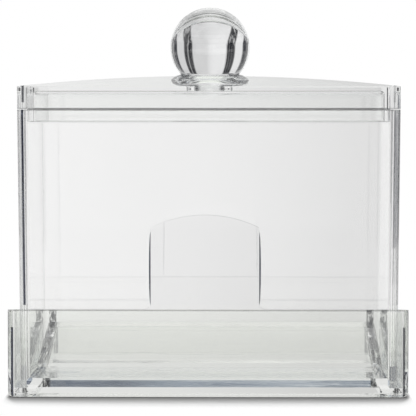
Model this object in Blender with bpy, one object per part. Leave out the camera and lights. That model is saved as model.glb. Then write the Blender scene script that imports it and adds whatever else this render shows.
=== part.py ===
"""Clear moulded cotton swab holder, standing free on a table.

A hopper for the swabs stands in a dispensing tray, and a lift-off lid with a ball knob
closes it. The swabs lie along X, roll down the tray's ramp and come out at the front.

Metres, +Z up, front towards -Y. The origin lies on the table under the tray's middle.
"""

import math

import bmesh
import bpy
from mathutils import Vector

# Shared by all pieces
FIT = 0.0003
EDGE_EASE = 0.0003
OVERRUN = 0.005
CORNER_STEPS = 5
EASE_STEPS = 2
BEND_STEPS = 6

# Tray: one moulding with four walls and a raised floor that climbs to a ramp between grooves
TRAY_WIDTH = 0.096
TRAY_DEPTH = 0.073
TRAY_WALL = 0.0013
TRAY_FLOOR = 0.0022
TRAY_CORNER_RADIUS = 0.0018
TRAY_FOOT_RADIUS = 0.0013
TRAY_RIM_FRONT = 0.0211
TRAY_RIM_BACK = 0.0155
TRAY_FORWARD = 0.0135
RAMP_WALL = 0.0022
RAMP_PLAY = 0.0006
RAMP_FRONT_HEIGHT = 0.0046
RAMP_BACK_HEIGHT = 0.0125
RAMP_FLAT_DEPTH = 0.0285
RAMP_BEND_RADIUS = 0.0300
RAMP_EDGE_RADIUS = 0.0008

# Hopper: a tube of four drafted walls, its front wall cut short above the ramp
HOPPER_WALL = 0.0022
HOPPER_CORNER_RADIUS = 0.0028
HOPPER_HEIGHT = 0.06885
SIDE_DRAFT = math.radians(0.54)
FRONT_DRAFT = math.radians(0.80)
FRONT_EDGE_HEIGHT = 0.0200
MOUTH_RADIUS = 0.0015
WINDOW_WIDTH = 0.0265
WINDOW_SHOULDER = 0.0400
WINDOW_CROWN = 0.0431
WINDOW_OFFSET = -0.0009
WINDOW_STEPS = 12

# Lid: a flush cap whose front and back walls rise as shallow arches past a thin flat roof
LID_RISE = 0.00535
LID_CREST = 0.0025
LID_ROOF = 0.0011
LID_UPSTAND = 0.0022
LID_FLANGE_WALL = 0.00135
LID_FLANGE_DEPTH = 0.00305
LID_INNER_RADIUS = 0.0010
FLANGE_EDGE_RADIUS = 0.0005
CREST_STEPS = 24

# Knob: a turned ball on a lens-shaped foot, held by a spigot through the roof
BALL_DIAMETER = 0.0202
BALL_LIFT = 0.0101
NECK_DIAMETER = 0.0148
FOOT_DIAMETER = 0.0199
FOOT_LIFT = 0.0015
FOOT_EDGE = 0.0003
SEAT_DIAMETER = 0.0130
SPIGOT_DIAMETER = 0.0112
HEAD_DIAMETER = 0.0161
HEAD_HEIGHT = 0.0008
BULGE_SHARE = 0.10
TURN_STEPS = 48
BALL_STEPS = 18
BULGE_STEPS = 3

# Places that follow from the sizes above
TRAY_FRONT_Y = -TRAY_DEPTH / 2
TRAY_BACK_Y = TRAY_DEPTH / 2
TRAY_INNER_X = TRAY_WIDTH / 2 - TRAY_WALL
TRAY_INNER_RADIUS = TRAY_CORNER_RADIUS - TRAY_WALL
TRAY_INNER_FRONT_Y = TRAY_FRONT_Y + TRAY_WALL
TRAY_INNER_BACK_Y = TRAY_BACK_Y - TRAY_WALL
HOPPER_FOOT_Z = TRAY_FLOOR + FIT
HOPPER_INNER_RADIUS = HOPPER_CORNER_RADIUS - HOPPER_WALL
LID_SEAT_Z = HOPPER_HEIGHT + FIT
ROOF_TOP_Z = LID_SEAT_Z + LID_RISE
ROOF_UNDER_Z = ROOF_TOP_Z - LID_ROOF
LID_WALL = HOPPER_WALL + FIT + LID_FLANGE_WALL


def hopper_side_x(z):
    """Half the hopper's outer width at height z; it clears the tray's rim by the fit."""
    return TRAY_INNER_X - FIT + math.tan(SIDE_DRAFT) * (z - TRAY_RIM_FRONT)


def hopper_front_y(z):
    return TRAY_FRONT_Y + TRAY_FORWARD - math.tan(FRONT_DRAFT) * (z - TRAY_RIM_FRONT)


def hopper_back_y(z):
    return TRAY_INNER_BACK_Y - FIT + math.tan(SIDE_DRAFT) * (z - TRAY_RIM_BACK)


def tray_rim_z(y):
    """The tray's rim falls evenly from the front to the back."""
    share = (y - TRAY_FRONT_Y) / TRAY_DEPTH
    return TRAY_RIM_FRONT + (TRAY_RIM_BACK - TRAY_RIM_FRONT) * share


def quarter_round(radius, steps):
    """(inset, rise) pairs along a quarter circle, from a flat face up to the wall."""
    pairs = []
    for step in range(steps + 1):
        angle = math.radians(90) * step / steps
        pairs.append((radius * (1 - math.sin(angle)), radius * (1 - math.cos(angle))))
    return pairs


def rounded_outline(half_width, front, back, radius):
    """A rounded rectangle seen from above, counter-clockwise, as (x, y) points."""
    right = half_width - radius
    near = front + radius
    far = back - radius
    points = []
    for quarter, (x, y) in enumerate(((right, far), (-right, far), (-right, near), (right, near))):
        for step in range(CORNER_STEPS + 1):
            angle = math.radians(90) * (quarter + step / CORNER_STEPS)
            points.append((x + radius * math.cos(angle), y + radius * math.sin(angle)))
    return points


def arc(centre_x, centre_z, radius, start, end, steps):
    """Points on a circle from one angle to another, in degrees, both ends included."""
    points = []
    for step in range(steps + 1):
        angle = math.radians(start + (end - start) * step / steps)
        points.append((centre_x + radius * math.cos(angle), centre_z + radius * math.sin(angle)))
    return points


def crown(half_width, shoulder_z, crown_z, steps):
    """A shallow arch over a span, from its right shoulder over the crown to its left."""
    rise = crown_z - shoulder_z
    radius = (half_width**2 + rise**2) / (2 * rise)
    swing = math.degrees(math.asin(half_width / radius))
    return arc(0, crown_z - radius, radius, 90 - swing, 90 + swing, steps)


def plastic(name):
    """The clear, faintly cool moulded plastic; each piece has its own copy."""
    material = bpy.data.materials.new(name)
    material.use_nodes = True
    shader = material.node_tree.nodes["Principled BSDF"]
    shader.inputs["Base Color"].default_value = (0.93, 0.95, 0.94, 1)
    shader.inputs["Roughness"].default_value = 0.03
    shader.inputs["Metallic"].default_value = 0
    shader.inputs["IOR"].default_value = 1.49
    shader.inputs["Transmission Weight"].default_value = 1
    return material


def finish_mesh(name, mesh_data):
    """Turn a bmesh into a linked object with its faces pointing out."""
    bmesh.ops.recalc_face_normals(mesh_data, faces=mesh_data.faces)
    mesh = bpy.data.meshes.new(name)
    mesh_data.to_mesh(mesh)
    mesh_data.free()
    piece = bpy.data.objects.new(name, mesh)
    bpy.context.scene.collection.objects.link(piece)
    return piece


def loft(name, rings):
    """Skin a row of closed rings with as many points each, and cap both ends."""
    mesh_data = bmesh.new()
    loops = [[mesh_data.verts.new(point) for point in ring] for ring in rings]
    for lower, upper in zip(loops, loops[1:]):
        for index in range(len(lower)):
            following = (index + 1) % len(lower)
            mesh_data.faces.new((lower[index], lower[following], upper[following], upper[index]))
    mesh_data.faces.new(loops[0])
    mesh_data.faces.new(loops[-1])
    return finish_mesh(name, mesh_data)


def prism(name, outline, near, far):
    """Extrude an (x, z) outline along Y from one place to another."""
    mesh_data = bmesh.new()
    face = mesh_data.faces.new([mesh_data.verts.new((x, near, z)) for x, z in outline])
    grown = bmesh.ops.extrude_face_region(mesh_data, geom=[face])
    moved = [part for part in grown["geom"] if isinstance(part, bmesh.types.BMVert)]
    bmesh.ops.translate(mesh_data, verts=moved, vec=Vector((0, far - near, 0)))
    return finish_mesh(name, mesh_data)


def turned(name, profile):
    """Spin an (r, z) profile, whose two ends lie on the axis, about Z."""
    mesh_data = bmesh.new()
    verts = [mesh_data.verts.new((r, 0, z)) for r, z in profile]
    edges = [mesh_data.edges.new(pair) for pair in zip(verts, verts[1:])]
    bmesh.ops.spin(
        mesh_data,
        geom=verts + edges,
        cent=(0, 0, 0),
        axis=(0, 0, 1),
        angle=math.radians(360),
        steps=TURN_STEPS,
        use_merge=True,
    )
    bmesh.ops.remove_doubles(mesh_data, verts=mesh_data.verts, dist=EDGE_EASE / TURN_STEPS)
    return finish_mesh(name, mesh_data)


def combine(piece, tool, operation):
    """Join to a piece, or cut from it, another solid that stays as a hidden guide."""
    modifier = piece.modifiers.new(tool.name, "BOOLEAN")
    modifier.operation = operation
    modifier.solver = "EXACT"
    modifier.object = tool
    tool.hide_render = True
    tool.display_type = "WIRE"


def shade(piece, material):
    piece.data.materials.append(material)
    piece.data.shade_smooth()
    piece.data.set_sharp_from_angle(angle=math.radians(30))


def ramp_half_width():
    return hopper_side_x(HOPPER_FOOT_Z) - HOPPER_WALL - RAMP_PLAY


def ramp_back_y():
    return hopper_back_y(HOPPER_FOOT_Z) - HOPPER_WALL - RAMP_PLAY


def ramp_stations(near, far):
    """The ramp's top as (y, z) points: level in front, round a bend, then an even climb."""
    bend_y = TRAY_FRONT_Y + RAMP_FLAT_DEPTH
    slope = math.atan2(RAMP_BACK_HEIGHT - RAMP_FRONT_HEIGHT, ramp_back_y() - bend_y)
    bend_start = bend_y - RAMP_BEND_RADIUS * math.tan(slope / 2)
    centre_z = RAMP_FRONT_HEIGHT + RAMP_BEND_RADIUS
    end = 270 + math.degrees(slope)
    stations = [(near, RAMP_FRONT_HEIGHT)]
    stations += arc(bend_start, centre_z, RAMP_BEND_RADIUS, 270, end, BEND_STEPS)
    stations.append((far, RAMP_FRONT_HEIGHT + math.tan(slope) * (far - bend_y)))
    return stations


def ramp_ring(y, top, half_width, edge_radius, base):
    """One cross-section: upright skirts and a flat top with rounded edges."""
    flat = half_width - edge_radius
    shoulder = top - edge_radius
    outline = [(half_width, base)]
    outline += arc(flat, shoulder, edge_radius, 0, 90, CORNER_STEPS)
    outline += arc(-flat, shoulder, edge_radius, 90, 180, CORNER_STEPS)
    outline.append((-half_width, base))
    return [(x, y, z) for x, z in outline]


def make_ramp():
    """The raised floor, from inside the front wall to the hopper's back wall."""
    base = TRAY_FLOOR / 2
    half_width = ramp_half_width()
    stations = ramp_stations(TRAY_FRONT_Y + TRAY_WALL / 2, ramp_back_y() - RAMP_EDGE_RADIUS)
    rings = [ramp_ring(y, z, half_width, RAMP_EDGE_RADIUS, base) for y, z in stations]
    last_z = stations[-1][1]
    for inset, rise in reversed(quarter_round(RAMP_EDGE_RADIUS, EASE_STEPS * 2)[:-1]):
        y = ramp_back_y() - rise
        rings.append(ramp_ring(y, last_z - inset, half_width - inset, RAMP_EDGE_RADIUS, base))
    return loft("ramp_guide", rings)


def make_pocket():
    """The hollow under the ramp, open below, which leaves its top and skirts one wall thick."""
    half_width = ramp_half_width() - RAMP_WALL
    rings = []
    for y, z in ramp_stations(TRAY_INNER_FRONT_Y, ramp_back_y() - RAMP_WALL):
        rings.append(ramp_ring(y, z - RAMP_WALL, half_width, RAMP_EDGE_RADIUS, -OVERRUN))
    return loft("pocket_guide", rings)


def tray_outline(inset, radius):
    return rounded_outline(TRAY_WIDTH / 2 - inset, TRAY_FRONT_Y + inset, TRAY_BACK_Y - inset, radius)


def make_tray():
    rings = []
    for inset, rise in quarter_round(TRAY_FOOT_RADIUS, EASE_STEPS * 2):
        rings.append([(x, y, rise) for x, y in tray_outline(inset, TRAY_CORNER_RADIUS)])
    for inset, rise in reversed(quarter_round(EDGE_EASE, EASE_STEPS)):
        outline = tray_outline(inset, TRAY_CORNER_RADIUS)
        rings.append([(x, y, tray_rim_z(y) - rise) for x, y in outline])
    tray = loft("tray", rings)

    inside = tray_outline(TRAY_WALL, TRAY_INNER_RADIUS)
    flared = tray_outline(TRAY_WALL - EDGE_EASE * 2, TRAY_INNER_RADIUS)
    rings = [[(x, y, TRAY_FLOOR) for x, y in inside]]
    rings.append([(x, y, tray_rim_z(y) - EDGE_EASE) for x, y in inside])
    rings.append([(x, y, tray_rim_z(y) + EDGE_EASE) for x, y in flared])
    rings.append([(x, y, TRAY_RIM_FRONT + OVERRUN) for x, y in flared])
    combine(tray, loft("tray_cavity_guide", rings), "DIFFERENCE")
    combine(tray, make_ramp(), "UNION")
    combine(tray, make_pocket(), "DIFFERENCE")
    shade(tray, plastic("tray_plastic"))
    return tray


def hopper_ring(z, inset, radius):
    outline = rounded_outline(
        hopper_side_x(z) - inset, hopper_front_y(z) + inset, hopper_back_y(z) - inset, radius
    )
    return [(x, y, z) for x, y in outline]


def hopper_mouth_outline():
    """The front wall's cut-out: the wide mouth above the ramp with the arched window over it."""
    half_mouth = ramp_half_width() + FIT
    half_window = WINDOW_WIDTH / 2
    radius = MOUTH_RADIUS
    edge = FRONT_EDGE_HEIGHT
    points = [(half_mouth, -OVERRUN)]
    points += arc(half_mouth - radius, edge - radius, radius, 0, 90, CORNER_STEPS)
    points += arc(WINDOW_OFFSET + half_window + radius, edge + radius, radius, 270, 180, CORNER_STEPS)
    arch = crown(half_window, WINDOW_SHOULDER, WINDOW_CROWN, WINDOW_STEPS)
    points += [(x + WINDOW_OFFSET, z) for x, z in arch]
    points += arc(WINDOW_OFFSET - half_window - radius, edge + radius, radius, 0, -90, CORNER_STEPS)
    points += arc(-half_mouth + radius, edge - radius, radius, 90, 180, CORNER_STEPS)
    points.append((-half_mouth, -OVERRUN))
    return points


def make_hopper():
    rings = [hopper_ring(HOPPER_FOOT_Z, EDGE_EASE, HOPPER_CORNER_RADIUS)]
    rings.append(hopper_ring(HOPPER_FOOT_Z + EDGE_EASE, 0, HOPPER_CORNER_RADIUS))
    for inset, rise in reversed(quarter_round(EDGE_EASE, EASE_STEPS)):
        rings.append(hopper_ring(HOPPER_HEIGHT - rise, inset, HOPPER_CORNER_RADIUS))
    hopper = loft("hopper", rings)

    rings = [hopper_ring(HOPPER_FOOT_Z - OVERRUN, HOPPER_WALL, HOPPER_INNER_RADIUS)]
    rings.append(hopper_ring(HOPPER_HEIGHT - EDGE_EASE, HOPPER_WALL, HOPPER_INNER_RADIUS))
    flare = HOPPER_WALL - EDGE_EASE * 2
    rings.append(hopper_ring(HOPPER_HEIGHT + EDGE_EASE, flare, HOPPER_INNER_RADIUS))
    rings.append(hopper_ring(HOPPER_HEIGHT + OVERRUN, flare, HOPPER_INNER_RADIUS))
    combine(hopper, loft("hopper_cavity_guide", rings), "DIFFERENCE")

    near = hopper_front_y(HOPPER_HEIGHT) - OVERRUN
    far = hopper_front_y(HOPPER_FOOT_Z) + HOPPER_WALL + HOPPER_CORNER_RADIUS
    mouth = prism("hopper_mouth_guide", hopper_mouth_outline(), near, far)
    combine(hopper, mouth, "DIFFERENCE")
    shade(hopper, plastic("hopper_plastic"))
    return hopper


def lid_ring(z, inset, radius):
    """An outline at height z, set in from the lid's outside, which is flush with the hopper."""
    outline = rounded_outline(
        hopper_side_x(HOPPER_HEIGHT) - inset,
        hopper_front_y(HOPPER_HEIGHT) + inset,
        hopper_back_y(HOPPER_HEIGHT) - inset,
        radius,
    )
    return [(x, y, z) for x, y in outline]


def make_lid():
    crest_z = ROOF_TOP_Z + LID_CREST
    outer_x = hopper_side_x(HOPPER_HEIGHT)
    rings = []
    for inset, rise in quarter_round(EDGE_EASE, EASE_STEPS):
        rings.append(lid_ring(LID_SEAT_Z + rise, inset, HOPPER_CORNER_RADIUS))
    rings.append(lid_ring(crest_z + OVERRUN, 0, HOPPER_CORNER_RADIUS))
    lid = loft("lid", rings)

    sky = crown(outer_x, ROOF_TOP_Z, crest_z, CREST_STEPS)
    sky.append((-outer_x - OVERRUN, ROOF_TOP_Z))
    sky.append((-outer_x - OVERRUN, crest_z + OVERRUN * 2))
    sky.append((outer_x + OVERRUN, crest_z + OVERRUN * 2))
    sky.append((outer_x + OVERRUN, ROOF_TOP_Z))
    near = hopper_front_y(HOPPER_HEIGHT) - OVERRUN
    far = hopper_back_y(HOPPER_HEIGHT) + OVERRUN
    combine(lid, prism("lid_crest_guide", sky, near, far), "DIFFERENCE")

    well_front = hopper_front_y(HOPPER_HEIGHT) + LID_UPSTAND
    well_back = hopper_back_y(HOPPER_HEIGHT) - LID_UPSTAND
    well = [
        (outer_x + OVERRUN, ROOF_TOP_Z),
        (outer_x + OVERRUN, crest_z + OVERRUN),
        (-outer_x - OVERRUN, crest_z + OVERRUN),
        (-outer_x - OVERRUN, ROOF_TOP_Z),
    ]
    combine(lid, prism("lid_well_guide", well, well_front, well_back), "DIFFERENCE")

    flange_inset = HOPPER_WALL + FIT
    flange_radius = HOPPER_INNER_RADIUS + FIT
    flange_foot = HOPPER_HEIGHT - LID_FLANGE_DEPTH
    rings = []
    for inset, rise in quarter_round(FLANGE_EDGE_RADIUS, EASE_STEPS):
        rings.append(lid_ring(flange_foot + rise, flange_inset + inset, flange_radius))
    rings.append(lid_ring(LID_SEAT_Z + LID_RISE / 2, flange_inset, flange_radius))
    combine(lid, loft("lid_flange_guide", rings), "UNION")

    rings = [lid_ring(flange_foot - OVERRUN, LID_WALL, LID_INNER_RADIUS)]
    for inset, rise in reversed(quarter_round(LID_INNER_RADIUS, EASE_STEPS * 2)):
        rings.append(lid_ring(ROOF_UNDER_Z - rise, LID_WALL + inset, LID_INNER_RADIUS))
    combine(lid, loft("lid_cavity_guide", rings), "DIFFERENCE")

    hole = knob_hole_profile()
    combine(lid, turned("knob_hole_guide", hole), "DIFFERENCE")
    shade(lid, plastic("lid_plastic"))
    return lid


def knob_hole_profile():
    radius = SPIGOT_DIAMETER / 2 + FIT
    top = ROOF_TOP_Z + OVERRUN
    bottom = ROOF_UNDER_Z - OVERRUN
    return [(0, top), (radius, top), (radius, bottom), (0, bottom)]


def bulged(start, end, share, steps):
    """Points from start to end, excluding start, swelling to the left of the way by a share."""
    along_r = end[0] - start[0]
    along_z = end[1] - start[1]
    points = []
    for step in range(1, steps + 1):
        t = step / steps
        swell = share * 4 * t * (1 - t)
        points.append((start[0] + along_r * t - along_z * swell, start[1] + along_z * t + along_r * swell))
    return points


def knob_profile():
    """From the ball's top, down round the foot and the spigot, to the middle of its head."""
    ball_radius = BALL_DIAMETER / 2
    neck_radius = NECK_DIAMETER / 2
    foot_radius = FOOT_DIAMETER / 2
    ball_z = ROOF_TOP_Z + BALL_LIFT
    neck_angle = -math.degrees(math.acos(neck_radius / ball_radius))
    neck_z = ball_z + ball_radius * math.sin(math.radians(neck_angle))
    rim_z = ROOF_TOP_Z + FOOT_LIFT
    seat_z = ROOF_TOP_Z + FIT
    head_z = ROOF_UNDER_Z - FIT
    points = arc(0, ball_z, ball_radius, 90, neck_angle, BALL_STEPS)
    points[0] = (0, ball_z + ball_radius)
    points += bulged((neck_radius, neck_z), (foot_radius, rim_z + FOOT_EDGE), BULGE_SHARE, BULGE_STEPS)
    points += bulged((foot_radius, rim_z - FOOT_EDGE), (SEAT_DIAMETER / 2, seat_z), BULGE_SHARE, BULGE_STEPS)
    points.append((SPIGOT_DIAMETER / 2, seat_z))
    points.append((SPIGOT_DIAMETER / 2, head_z))
    dome = crown(HEAD_DIAMETER / 2, 0, HEAD_HEIGHT, BULGE_STEPS * 2)
    points += [(r, head_z - depth) for r, depth in dome[:BULGE_STEPS]]
    points.append((0, head_z - HEAD_HEIGHT))
    return points


def make_knob():
    knob = turned("knob", knob_profile())
    place_on_roof(knob)
    shade(knob, plastic("knob_plastic"))
    return knob


def roof_middle_y():
    return (hopper_front_y(HOPPER_HEIGHT) + hopper_back_y(HOPPER_HEIGHT)) / 2


def place_on_roof(piece):
    """Move a turned piece, made on the Z axis, over the middle of the roof."""
    piece.location.y = roof_middle_y()


def main():
    for item in list(bpy.data.objects):
        bpy.data.objects.remove(item)
    make_tray()
    make_hopper()
    lid = make_lid()
    knob = make_knob()
    place_on_roof(bpy.data.objects["knob_hole_guide"])
    lift = bpy.data.objects.new("lid_lift", None)
    bpy.context.scene.collection.objects.link(lift)
    lift.location.z = LID_SEAT_Z
    bpy.context.view_layer.update()
    for piece in (lid, knob):
        piece.parent = lift
        piece.matrix_parent_inverse = lift.matrix_world.inverted()


main()
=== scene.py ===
import math

import bpy
from bpy.props import FloatProperty, FloatVectorProperty, IntProperty, PointerProperty
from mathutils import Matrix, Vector


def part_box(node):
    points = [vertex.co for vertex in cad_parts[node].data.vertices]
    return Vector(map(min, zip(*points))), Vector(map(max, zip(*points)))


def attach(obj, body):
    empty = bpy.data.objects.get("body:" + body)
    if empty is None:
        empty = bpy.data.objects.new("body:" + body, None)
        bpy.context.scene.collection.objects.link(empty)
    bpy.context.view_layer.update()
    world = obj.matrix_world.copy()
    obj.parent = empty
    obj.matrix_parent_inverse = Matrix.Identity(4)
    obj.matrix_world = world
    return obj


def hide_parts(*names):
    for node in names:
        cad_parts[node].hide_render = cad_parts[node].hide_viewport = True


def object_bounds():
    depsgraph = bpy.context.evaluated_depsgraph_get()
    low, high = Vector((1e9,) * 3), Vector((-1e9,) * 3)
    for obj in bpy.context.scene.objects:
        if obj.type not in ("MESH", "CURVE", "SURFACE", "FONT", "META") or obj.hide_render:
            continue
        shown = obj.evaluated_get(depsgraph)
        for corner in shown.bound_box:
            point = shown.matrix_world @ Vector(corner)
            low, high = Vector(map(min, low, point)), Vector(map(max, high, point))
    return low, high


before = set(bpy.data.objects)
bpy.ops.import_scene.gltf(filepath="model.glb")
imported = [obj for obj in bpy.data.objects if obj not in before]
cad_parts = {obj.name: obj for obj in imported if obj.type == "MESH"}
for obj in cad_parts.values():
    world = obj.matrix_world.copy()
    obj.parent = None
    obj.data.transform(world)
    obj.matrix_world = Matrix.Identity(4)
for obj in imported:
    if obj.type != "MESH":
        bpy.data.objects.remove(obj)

bl_info = {
    "name": "Clear Cotton Swab Holder",
    "version": (1, 0, 0),
    "blender": (4, 5, 0),
    "location": "3D View > Sidebar > Swab Holder",
    "description": "Models a clear moulded cotton swab holder, its plastics and a pale studio",
    "category": "Object",
}

# Places taken from the frame
CAD_BOX = [list(corner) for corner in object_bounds()]
TRAY_LOW, TRAY_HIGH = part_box("tray")
HOPPER_LOW, HOPPER_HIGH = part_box("hopper")
LID_LOW, LID_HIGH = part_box("lid")
KNOB_LOW, KNOB_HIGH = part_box("knob")
KNOB_Y = (KNOB_LOW.y + KNOB_HIGH.y) / 2
KNOB_Z = (KNOB_LOW.z + KNOB_HIGH.z) / 2

PHOTO_WIDTH = 416
SENSOR_WIDTH = 36

# Limits and steps of the modelling
TINY = 1e-5
OVERRUN = 0.006
MERGE_DISTANCE = 2e-6
FLAT_ANGLE = math.radians(0.05)
SHARP_ANGLE = math.radians(38)
QUARTER_TURN = math.radians(90)
UPRIGHT_RISE = 4
EDGE_SEGMENTS = 3
ROOF_CORNER_SHARE = 0.9
FLOOR_DROP = 4e-5

# The plastic's faint marks: the ways they stretch, their noise scales, and how much they show
ALONG_X = (0.3, 1, 1)
ALONG_Z = (1, 1, 0.3)
EVEN = (1, 1, 1)
FLOW_SCALE = 30
CLOUD_SCALE = 90
GRAIN_SCALE = 60
GRAIN_FINER = 6
FLOW_SHADE = 0.985
FLOW_HEIGHT = 0.8
CLOUD_ROUGHNESS = 0.012
MARK_DEPTH = 0.0004

# Painted shade: colour and width of the dark lines painted at joints, rims and corners; rim strength, fades
PAINTED_SHADE_COLOUR = (0.005, 0.006, 0.012)
SHADE_LINE_WIDTH = 0.0003
RIM_STRENGTH = 0.45
JOINT_FADE = [(0.5, 0.55), (1.0, 0.0)]
FLANGE_FADE = [(0.5, 0.45), (1.0, 0.0)]

# How far the tray's painted lines reach, in walls behind its front, line widths, tray and ramp heights
RIM_WALLS = 1.2
RIM_SHADE_LINES = 1.3
LINE_WALLS = 0.8
LINE_TRAYS = 0.8
RAMP_SHADE_WALLS = 1.5
RAMP_SHADE_RAMPS = 0.55

# The painted dark slivers at the window's sides: half their length in side lengths, and width in line widths
SLIVER_REACH = 0.45
SLIVER_SHADE_LINES = 1.4

# Painted shade near the front corners, in place of refracted dark: inset, then left and right strength
CORNER_LINE_HALF = 0.0003
TRAY_LINE = (0.00115, 1.0, 0.97)
HOPPER_LINES = ((0.0014, 1.0, 0.2), (0.0003, 0.0, 0.6))
LID_LINE = (0.0016, 0.97, 0.5)
LID_LINE_LIFT = 0.0016

# Painted shade in streaks along the raised floor's sides
RAMP_SHADE_ACROSS = [(0.52, 0.0), (0.55, 1.0), (0.94, 1.0), (0.97, 0.0)]
RAMP_SHADE_STRETCH = (1, 0.06, 0.4)
RAMP_SHADE_SCALE = 1900
RAMP_SHADE_STREAKS = [(0.40, 0.99), (0.50, 0.88), (0.60, 0.20)]

# Painted shade in the knob's foot: swirls in place of refracted dark, and patches where the spigot fits
SWIRL_STRETCH = (1, 1, 2.5)
SWIRL_SCALE = 420
SWIRLS = [(0.46, 0.0), (0.53, 0.97)]
SWIRLS_ACROSS = [(0.30, 0.0), (0.46, 1.0), (0.94, 1.0), (0.98, 0.0)]
SWIRL_OVERLAP = 0.0002
FIT_ACROSS = [(0.40, 0.0), (0.55, 0.97)]
FIT_DEPTH = 0.0008

# The contact shadow's tones from the tray outwards, and where the floor beyond it turns white
SHADOW_FALL = [(0.0, 0.27), (0.12, 0.36), (0.25, 0.44), (0.5, 0.68), (0.75, 0.92), (1.0, 0.98)]
SHADOW_END = [(0.44, 0.0), (0.56, 1.0)]

# How often light is mirrored before it sees another studio, and how few walls it passes to see the strips
MIRRORED = 0.5
MIRRORED_OFTEN = 2.5
FEW_WALLS = 2.5

# Plain shades of the studio
WHITE = (1, 1, 1, 1)
PALE = (0.90, 0.90, 0.90)

# What light through the pieces sees: a tone from left to right, and dark strips by their turn from ahead
GRADE = [(0.21, 0.814), (0.31, 0.785), (0.45, 0.757), (0.59, 0.692), (0.69, 0.637)]
GRADE_SPREAD = 4
STRIP_DARK = (0.012, 0.013, 0.018)
THROUGH_STRIPS = [
    (0.28, 1.0),
    (0.31, STRIP_DARK),
    (0.46, STRIP_DARK),
    (0.49, 1.0),
    (0.67, 1.0),
    (0.70, (0.010, 0.012, 0.022)),
    (0.93, (0.010, 0.012, 0.016)),
    (0.95, 1.0),
]
THROUGH_GLINTS = [(0.52, 0.0), (0.58, 0.35), (0.66, 0.60)]
GLINTS_ACROSS = 22
GLINTS_DOWN = 5
GLINTS_APART = 3
RISE_DARK = (0.02, 0.022, 0.03)
THROUGH_RISE = [(0.81, 1.0), (0.84, RISE_DARK), (0.94, RISE_DARK), (0.97, 1.0)]
THROUGH_FADE = [(0.52, 0.0), (0.66, 1.0)]

# How much the strips lean outwards below the horizon, and how softly the lean sets in
LEAN_LEFT = 0.55
LEAN_RIGHT = 0.26
LEAN_START = 0.12

# On the floor: how far off the viewer is taken to be, and how far from the knob the strips begin
STAND_OFF = 0.64
STRIPS_FROM = 0.10
FLOOR_ROUGHNESS = 0.9

# What light mirrored once or twice sees: shades by direction, dark strips and a card in front
ONCE_BACK = (0.80, 0.80, 0.80)
ONCE_FRONT = (0.66, 0.66, 0.665)
BACK_FROM = 0.5
FRONT_FROM = -0.55
SIDE_SHADES = [(0.0, 1.0), (0.5, 0.96), (0.7, 0.80), (1.0, 0.62)]
FRONT_CARD = (1.55, 1.55, 1.55)
CARD_HALF_WIDTH = 0.25
CARD_HALF_HEIGHT = 0.085
ONCE_ON_FLOOR = [(0.05, FRONT_CARD), (0.20, PALE), (0.60, PALE), (0.70, ONCE_BACK)]
ONCE_DARK = (0.03, 0.035, 0.05)
ONCE_STRIPS = [(0.74, 1.0), (0.77, ONCE_DARK), (0.92, ONCE_DARK), (0.95, 1.0)]
ONCE_RISE = [(0.58, 1.0), (0.66, 0.22), (0.84, 0.22), (0.94, 1.0)]

# What light mirrored more often sees: strips and lines at the sides, ripples and streaks in the middle
ECHO_INNER = (0.02, 0.025, 0.05)
ECHO_BETWEEN = (0.62, 0.65, 0.70)
ECHO_OUTER = (0.02, 0.025, 0.04)
ECHO_STRIPS = [
    (0.22, 0.8),
    (0.25, ECHO_INNER),
    (0.46, ECHO_INNER),
    (0.50, ECHO_BETWEEN),
    (0.62, ECHO_BETWEEN),
    (0.68, ECHO_OUTER),
    (0.92, ECHO_OUTER),
    (0.95, 0.9),
]
ECHO_PALE_RIGHT = 0.95
ECHO_HALF_MIDDLE = 0.13
ECHO_RISE = [(0.05, 0.0), (0.10, 1.0), (0.55, 1.0), (0.75, 0.0)]
ECHO_RIPPLES = [(0.38, (0.10, 0.12, 0.17)), (0.50, (0.29, 0.34, 0.42)), (0.62, (0.66, 0.70, 0.76))]
RIPPLE_SCALES = (14, 1, 70)
ECHO_LINES = [(0.38, 0.30), (0.50, 0.90), (0.60, 1.0)]
LINE_SCALES = (16, 16, 5)
ECHO_STREAKS = [(0.36, (0.03, 0.035, 0.06)), (0.40, (0.55, 0.58, 0.62)), (0.52, (0.90, 0.92, 0.89))]
STREAK_STRETCH = (1, 0.35, 1)
STREAK_SCALE = 140
ECHO_MIDDLE = (0.92, 0.94, 0.89)
FLOOR_MIDDLE = [(0.28, 1.0), (0.42, 0.0)]
FLOOR_FAR = [(0.30, 0.0), (0.75, 1.0)]

# Soft lamps: name, place, width and power, and the point that they face
LAMPS = (
    ("soft_left", (-0.7, -0.5, 0.9), 0.7, 1.6),
    ("soft_top", (0.1, 0.1, 1.2), 0.9, 1.2),
)
LAMP_AIM = (0, 0, 0.04)


def length(name, description, default):
    return FloatProperty(name=name, description=description, default=default, unit="LENGTH", precision=5)


def angle(name, description, degrees):
    return FloatProperty(name=name, description=description, default=math.radians(degrees), unit="ROTATION")


def number(name, description, default):
    return FloatProperty(name=name, description=description, default=default)


def count(name, description, default):
    return IntProperty(name=name, description=description, default=default, min=1)


def share(name, description, default):
    return FloatProperty(name=name, description=description, default=default, subtype="FACTOR")


def colour(name, description, default):
    return FloatVectorProperty(
        name=name, description=description, default=default, subtype="COLOR", size=3, min=0, max=1
    )


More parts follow.
